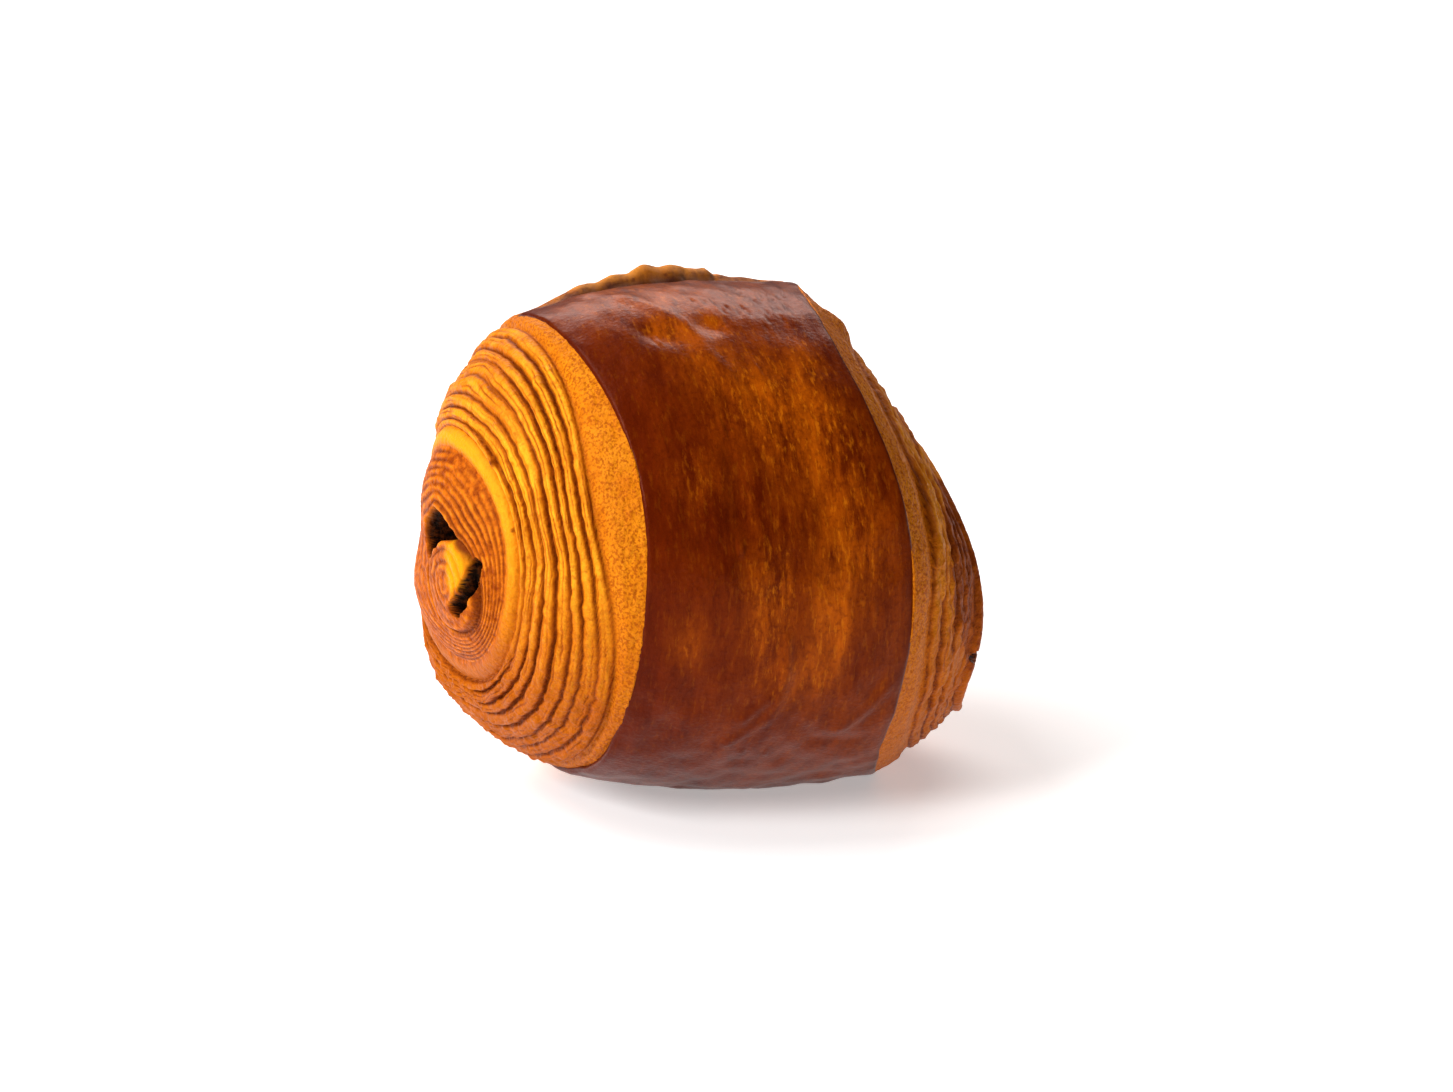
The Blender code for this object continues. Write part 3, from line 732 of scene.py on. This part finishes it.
def buildBand(own):
    angles = shellColumns(*own["columns"])
    profile = bandProfile(own["outerRows"])
    piece, rows, angle = addTubeShell("glazed_band", angles, len(profile))
    place, drop = profile[rows, 0], profile[rows, 1]
    rise, pits, degrees = bandRelief(place, angle, own)
    edgeFall = 0.12 * (np.exp(-place / 0.012) + np.exp(-(1.0 - place) / 0.012))
    points = rollPoint("band", place, angle)
    flap, crack, loose = flapRise(points[:, 0], angle)
    points += rollNormal("band", place, angle) * (rise - edgeFall - roll["inset"] + drop + flap)[:, None]
    placePoints(piece, pressOnFloor(points))
    bare = easeStep(seam["crackAngle"], seam["crackAngle"] - seam["bareWidth"], degrees)
    bare = bare * easeStep(*seam["bareEnd"], degrees)
    bare = np.where(degrees > 0.0, 0.0, bare)
    # amber weight, with painted shade near the left edge
    glow = 0.04 + 0.06 * place - 0.08 * np.exp(-place / 0.12)
    for share, spin, wide, tall, amount in own["glows"]:
        glow += amount * np.exp(-((place - share) / wide) ** 2 - ((degrees - spin) / tall) ** 2)
    # painted shade along both edges of the band
    edge = np.exp(-place / 0.02) + np.exp(-(1.0 - place) / 0.02)
    paint(piece, "skin", bare, glow, edge)
    paint(piece, "seam", crack, loose, pits)
    return piece


def newMaterial(name):
    material = bpy.data.materials.new(name)
    material.use_nodes = True
    tree = material.node_tree
    return material, tree, tree.nodes["Principled BSDF"]


def feed(tree, node, slot, value):
    # a number, a colour or another node's output
    if isinstance(value, (int, float)):
        node.inputs[slot].default_value = value
    elif isinstance(value, tuple):
        node.inputs[slot].default_value = value + (1.0,) * (4 - len(value))
    else:
        tree.links.new(value, node.inputs[slot])


def mixColours(tree, factor, first, second):
    node = tree.nodes.new("ShaderNodeMix")
    node.data_type = "RGBA"
    node.clamp_factor = True
    for slot, value in ((0, factor), (6, first), (7, second)):
        feed(tree, node, slot, value)
    return node.outputs[2]


def mapRange(tree, value, low, high, toLow=0.0, toHigh=1.0):
    node = tree.nodes.new("ShaderNodeMapRange")
    node.inputs["From Min"].default_value = low
    node.inputs["From Max"].default_value = high
    node.inputs["To Min"].default_value = toLow
    node.inputs["To Max"].default_value = toHigh
    tree.links.new(value, node.inputs["Value"])
    return node.outputs["Result"]


def multiply(tree, first, second):
    node = tree.nodes.new("ShaderNodeMath")
    node.operation = "MULTIPLY"
    feed(tree, node, 0, first)
    feed(tree, node, 1, second)
    return node.outputs[0]


def noiseOf(tree, place, scale, detail, roughness=0.5):
    node = tree.nodes.new("ShaderNodeTexNoise")
    node.inputs["Scale"].default_value = scale
    node.inputs["Detail"].default_value = detail
    node.inputs["Roughness"].default_value = roughness
    tree.links.new(place, node.inputs["Vector"])
    return node.outputs["Fac"]


def attributeParts(tree, name):
    node = tree.nodes.new("ShaderNodeAttribute")
    node.attribute_name = name
    split = tree.nodes.new("ShaderNodeSeparateColor")
    tree.links.new(node.outputs["Color"], split.inputs["Color"])
    return split.outputs["Red"], split.outputs["Green"], split.outputs["Blue"]


def addBump(tree, shader, height, look):
    bump = tree.nodes.new("ShaderNodeBump")
    bump.inputs["Strength"].default_value = look["bump"]
    bump.inputs["Distance"].default_value = look["bumpDistance"]
    tree.links.new(height, bump.inputs["Height"])
    tree.links.new(bump.outputs["Normal"], shader.inputs["Normal"])


# colours of the baked dough, linear; noise scales are cells in a metre
doughLook = {
    "goldLight": (0.90, 0.31, 0.006),
    "goldDeep": (0.58, 0.150, 0.003),
    # crest: painted highlight on the leaf crests
    "highlightAndGrain": (1.0, 0.45, 0.022),
    # side and furrow: painted shade on the ridge sides and in the furrows, with the browner layer edges
    "side": (0.56, 0.125, 0.003),
    "furrowShadeAndBrowning": (0.125, 0.017, 0.001),
    "brownLine": (0.80, 0.22, 0.008),
    "brownLight": (0.60, 0.130, 0.004),
    "brownDeep": (0.25, 0.036, 0.001),
    "pale": (0.92, 0.34, 0.010),
    "yolk": (0.86, 0.30, 0.003),
    # toast: deeper brown tone, darker towards the bottom
    "deepTone": (0.37, 0.080, 0.003),
    # singe colours: painted shade in the hollow, the slit and the baton mouths
    "openingShade": (0.004, 0.001, 0.001),
    "openingShadeLight": (0.060, 0.012, 0.002),
    "grain": (0.36, 0.070, 0.002),
    "sheen": (1.0, 0.6, 0.25),
    "roughness": 0.48,
    "specular": 0.09,
    "wideScale": 80.0,
    "fineScale": 900.0,
    "speckScale": 2400.0,
    "bump": 0.9,
    "bumpDistance": 0.0005,
}


def makeDough():
    material, tree, shader = newMaterial("baked_dough")
    place = tree.nodes.new("ShaderNodeTexCoord").outputs["Object"]
    furrowShadeAndBrowning, brown, pale = attributeParts(tree, "turns")
    yolk, strip, openingShade = attributeParts(tree, "marks")
    deepTone, streak, highlightAndGrain = attributeParts(tree, "toneAndHighlight")
    wide = noiseOf(tree, place, doughLook["wideScale"], 3.0)
    fine = noiseOf(tree, place, doughLook["fineScale"], 3.0, 0.6)
    speck = noiseOf(tree, place, doughLook["speckScale"], 2.0)

    # golden leaves with painted highlights on their crests
    gold = mixColours(tree, mapRange(tree, wide, 0.35, 0.65), doughLook["goldDeep"], doughLook["goldLight"])
    highlightShare = multiply(tree, highlightAndGrain, mapRange(tree, fine, 0.3, 0.6, 0.3, 1.0))
    gold = mixColours(tree, highlightShare, gold, doughLook["highlightAndGrain"])
    gold = mixColours(tree, multiply(tree, mapRange(tree, fine, 0.48, 0.68), 0.7), gold, doughLook["grain"])

    # brown inner turns, places of deeper tone, pale ring, and painted shade on the ridge sides and in the
    # furrows, with the browner layer edges
    brownShare = mapRange(tree, fine, 0.35, 0.65)
    brownMix = mixColours(tree, brownShare, doughLook["brownDeep"], doughLook["brownLight"])
    # painted highlight on the line crests in the brown turns
    brownMix = mixColours(tree, highlightAndGrain, brownMix, doughLook["brownLine"])
    deepToneShare = multiply(tree, deepTone, mapRange(tree, wide, 0.3, 0.6, 0.5, 1.0))
    colour = mixColours(tree, deepToneShare, gold, doughLook["deepTone"])
    # painted shade on the ridge sides beside the furrows
    sideShadeShare = multiply(tree, mapRange(tree, furrowShadeAndBrowning, 0.0, 0.45), 0.85)
    colour = mixColours(tree, sideShadeShare, colour, doughLook["side"])
    colour = mixColours(tree, brown, colour, brownMix)
    colour = mixColours(tree, pale, colour, doughLook["pale"])
    streakShare = multiply(tree, mapRange(tree, streak, 0.55, 0.85), 0.25)
    colour = mixColours(tree, streakShare, colour, doughLook["grain"])
    # painted shade in the furrows, with the browner layer edges, the dark knots and the browner right core
    furrowShare = multiply(tree, mapRange(tree, furrowShadeAndBrowning, 0.2, 1.0), 0.95)
    colour = mixColours(tree, furrowShare, colour, doughLook["furrowShadeAndBrowning"])
    colour = mixColours(tree, yolk, colour, doughLook["yolk"])

    # grain of the plain strip and of the places of deeper tone, then painted shade in the openings
    grains = multiply(tree, strip, mapRange(tree, speck, 0.48, 0.62))
    colour = mixColours(tree, multiply(tree, strip, 0.6), colour, doughLook["goldDeep"])
    colour = mixColours(tree, multiply(tree, grains, 0.85), colour, doughLook["grain"])
    deepToneGrain = multiply(tree, deepTone, mapRange(tree, speck, 0.47, 0.6))
    colour = mixColours(tree, multiply(tree, deepToneGrain, 0.6), colour, doughLook["grain"])
    shadedOpenings = mixColours(tree, mapRange(tree, fine, 0.48, 0.66), doughLook["openingShade"], doughLook["openingShadeLight"])
    colour = mixColours(tree, openingShade, colour, shadedOpenings)
    tree.links.new(colour, shader.inputs["Base Color"])
    shader.inputs["Roughness"].default_value = doughLook["roughness"]
    shader.inputs["Specular IOR Level"].default_value = doughLook["specular"]
    shader.inputs["Specular Tint"].default_value = doughLook["sheen"] + (1.0,)
    addBump(tree, shader, fine, doughLook)
    return material


# colours of the glaze and of the bare baked base, linear; noise scales are cells in a metre
glazeLook = {
    "dark": (0.065, 0.0045, 0.0002),
    "mid": (0.135, 0.0135, 0.0003),
    "amber": (0.45, 0.084, 0.0008),
    "fleck": (0.60, 0.150, 0.003),
    "base": (0.44, 0.11, 0.006),
    "flake": (0.76, 0.24, 0.010),
    "burnt": (0.13, 0.022, 0.001),
    "rim": (0.86, 0.36, 0.05),
    # crack: painted shade in the crack under the loose end
    "crack": (0.025, 0.005, 0.002),
    "sheen": (1.0, 0.42, 0.30),
    "roughness": 0.3,
    "bareRoughness": 0.6,
    "specular": 0.24,
    "refraction": 1.3,
    "stretch": (1.2, 0.45, 0.32),
    "wideScale": 75.0,
    "fineScale": 380.0,
    "speckScale": 1500.0,
    "fleckScale": 1300.0,
    "patchScale": 420.0,
    "bump": 0.4,
    "bumpDistance": 0.0004,
}


def makeGlaze():
    material, tree, shader = newMaterial("egg_glaze")
    place = tree.nodes.new("ShaderNodeTexCoord").outputs["Object"]
    bare, glow, edge = attributeParts(tree, "skin")
    crack, loose, pits = attributeParts(tree, "seam")
    stretch = tree.nodes.new("ShaderNodeMapping")
    stretch.inputs["Scale"].default_value = glazeLook["stretch"]
    tree.links.new(place, stretch.inputs["Vector"])
    brushed = stretch.outputs["Vector"]
    wide = noiseOf(tree, brushed, glazeLook["wideScale"], 5.0, 0.6)
    fine = noiseOf(tree, brushed, glazeLook["fineScale"], 8.0, 0.74)
    speck = noiseOf(tree, place, glazeLook["speckScale"], 3.0)

    # dark glaze, amber and flecked where it is thin, with painted sheen along the top and painted shade along
    # the edges
    mottled = mixColours(tree, 0.6, wide, fine)
    colour = mixColours(tree, mapRange(tree, mottled, 0.36, 0.64), glazeLook["dark"], glazeLook["mid"])
    lit = multiply(tree, mapRange(tree, glow, 0.0, 0.55), mapRange(tree, mottled, 0.41, 0.62, 0.08, 1.1))
    colour = mixColours(tree, lit, colour, glazeLook["amber"])
    speckShare = multiply(tree, mapRange(tree, speck, 0.52, 0.7), 0.4)
    colour = mixColours(tree, speckShare, colour, glazeLook["dark"])
    flecks = noiseOf(tree, brushed, glazeLook["fleckScale"], 4.0, 0.65)
    lively = multiply(tree, mapRange(tree, flecks, 0.54, 0.68), mapRange(tree, glow, 0.05, 0.5, 0.08, 0.55))
    colour = mixColours(tree, lively, colour, glazeLook["fleck"])
    # painted shade along the band's edges
    colour = mixColours(tree, multiply(tree, edge, 0.6), colour, glazeLook["dark"])

    # bare baked base and loose end
    baseMix = mixColours(tree, mapRange(tree, fine, 0.35, 0.65), glazeLook["base"], glazeLook["flake"])
    patches = noiseOf(tree, place, glazeLook["patchScale"], 4.0, 0.6)
    singed = multiply(tree, mapRange(tree, patches, 0.5, 0.62), mapRange(tree, loose, 0.05, 0.4))
    browned = multiply(tree, mapRange(tree, wide, 0.4, 0.62), 0.35)
    baseMix = mixColours(tree, browned, baseMix, glazeLook["burnt"])
    baseMix = mixColours(tree, multiply(tree, singed, 0.8), baseMix, glazeLook["burnt"])
    rimShare = multiply(tree, mapRange(tree, loose, 0.75, 1.0), 0.3)
    baseMix = mixColours(tree, rimShare, baseMix, glazeLook["rim"])
    colour = mixColours(tree, bare, colour, baseMix)
    colour = mixColours(tree, multiply(tree, pits, 0.8), colour, glazeLook["dark"])
    # painted shade in the crack under the loose end and between its layers
    colour = mixColours(tree, crack, colour, glazeLook["crack"])
    tree.links.new(colour, shader.inputs["Base Color"])
    roughness = mapRange(tree, bare, 0.0, 1.0, glazeLook["roughness"], glazeLook["bareRoughness"])
    tree.links.new(roughness, shader.inputs["Roughness"])
    shader.inputs["Specular IOR Level"].default_value = glazeLook["specular"]
    shader.inputs["IOR"].default_value = glazeLook["refraction"]
    shader.inputs["Specular Tint"].default_value = glazeLook["sheen"] + (1.0,)
    addBump(tree, shader, mixColours(tree, 0.5, fine, speck), glazeLook)
    return material


# dark chocolate of the batons, linear
chocolateLook = {
    "dark": (0.010, 0.003, 0.002),
    "light": (0.035, 0.011, 0.006),
    "spotScale": 500.0,
    "roughness": 0.3,
    "specular": 0.3,
}


def makeChocolate():
    material, tree, shader = newMaterial("baton_chocolate")
    place = tree.nodes.new("ShaderNodeTexCoord").outputs["Object"]
    spots = noiseOf(tree, place, chocolateLook["spotScale"], 3.0)
    spotShare = mapRange(tree, spots, 0.35, 0.7)
    colour = mixColours(tree, spotShare, chocolateLook["dark"], chocolateLook["light"])
    tree.links.new(colour, shader.inputs["Base Color"])
    shader.inputs["Roughness"].default_value = chocolateLook["roughness"]
    shader.inputs["Specular IOR Level"].default_value = chocolateLook["specular"]
    return material


leftTurns = buildEnd("left", leftEnd)
rightTurns = buildEnd("right", rightEnd)
print("pastry: ends shaped")
glazedBand = buildBand(glaze)
print("pastry: band shaped")

dough = makeDough()
shine = makeGlaze()
chocolate = makeChocolate()
for piece, material in ((leftTurns, dough), (rightTurns, dough), (glazedBand, shine)):
    piece.data.materials.clear()
    piece.data.materials.append(material)
    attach(piece, "root")
    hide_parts("dough")
for name in ("upper_baton", "lower_baton"):
    for slot in bpy.data.objects[name].material_slots:
        slot.material = chocolate
print("pastry: materials on")

# floor, light and camera; aim and distance in mm, lamps are (name, place, size in m, watts, colour)
stageSet = {
    "floorSize": 8.0,
    "floorColour": (0.92, 0.92, 0.92),
    "floorRoughness": 0.9,
    "floorSpecular": 0.1,
    "floorGlow": 0.38,
    "worldLight": 0.10,
    "aim": (4.15, 2.93, 37.7),
    "azimuth": -21.0,
    "elevation": 17.0,
    "distance": 528.0,
    "lens": 85.0,
    "lampAim": (0, 0, 0.04),
    "lamps": (
        ("key_left", (-0.80, -0.30, 0.55), (0.35, 0.35), 9.0, (1.0, 1.0, 1.0)),
        ("over_left", (-0.50, 0.10, 0.85), (0.5, 0.5), 5.5, (1.0, 1.0, 1.0)),
        ("top_back", (0.25, 0.70, 0.62), (1.0, 0.4), 6.5, (1.0, 0.88, 0.83)),
    ),
}


def addArea(name, place, size, power, colour):
    light = bpy.data.lights.new(name, "AREA")
    light.shape = "RECTANGLE"
    light.size, light.size_y = size
    light.energy = power
    light.color = colour
    lamp = bpy.data.objects.new(name, light)
    bpy.context.scene.collection.objects.link(lamp)
    lamp.location = place
    towards = Vector(stageSet["lampAim"]) - Vector(place)
    lamp.rotation_euler = towards.to_track_quat("-Z", "Y").to_euler()


deselectAll()
bpy.ops.mesh.primitive_plane_add(size=stageSet["floorSize"], location=(0, 0, -0.0001))
floor = bpy.context.active_object
floor.name = "floor"
floorMaterial, floorTree, floorShader = newMaterial("floor_paper")
floorShader.inputs["Base Color"].default_value = stageSet["floorColour"] + (1.0,)
floorShader.inputs["Roughness"].default_value = stageSet["floorRoughness"]
floorShader.inputs["Specular IOR Level"].default_value = stageSet["floorSpecular"]
floorShader.inputs["Emission Color"].default_value = (1.0, 1.0, 1.0, 1.0)
floorShader.inputs["Emission Strength"].default_value = stageSet["floorGlow"]
floor.data.materials.append(floorMaterial)

for lampFacts in stageSet["lamps"]:
    addArea(*lampFacts)

world = bpy.data.worlds.new("studio")
world.use_nodes = True
world.node_tree.nodes["Background"].inputs["Color"].default_value = (1.0, 1.0, 1.0, 1.0)
world.node_tree.nodes["Background"].inputs["Strength"].default_value = stageSet["worldLight"]
bpy.context.scene.world = world
bpy.context.scene.view_settings.view_transform = "Standard"

turn, lift = math.radians(stageSet["azimuth"]), math.radians(stageSet["elevation"])
back = Vector((math.sin(turn) * math.cos(lift), -math.cos(turn) * math.cos(lift), math.sin(lift)))
cameraData = bpy.data.cameras.new("camera")
cameraData.lens = stageSet["lens"]
cameraData.sensor_width = 36.0
cameraData.clip_start = 0.01
camera = bpy.data.objects.new("camera", cameraData)
bpy.context.scene.collection.objects.link(camera)
camera.location = Vector(stageSet["aim"]) * mm + back * stageSet["distance"] * mm
camera.rotation_euler = (-back).to_track_quat("-Z", "Y").to_euler()
bpy.context.scene.camera = camera
print("pastry: stage set")
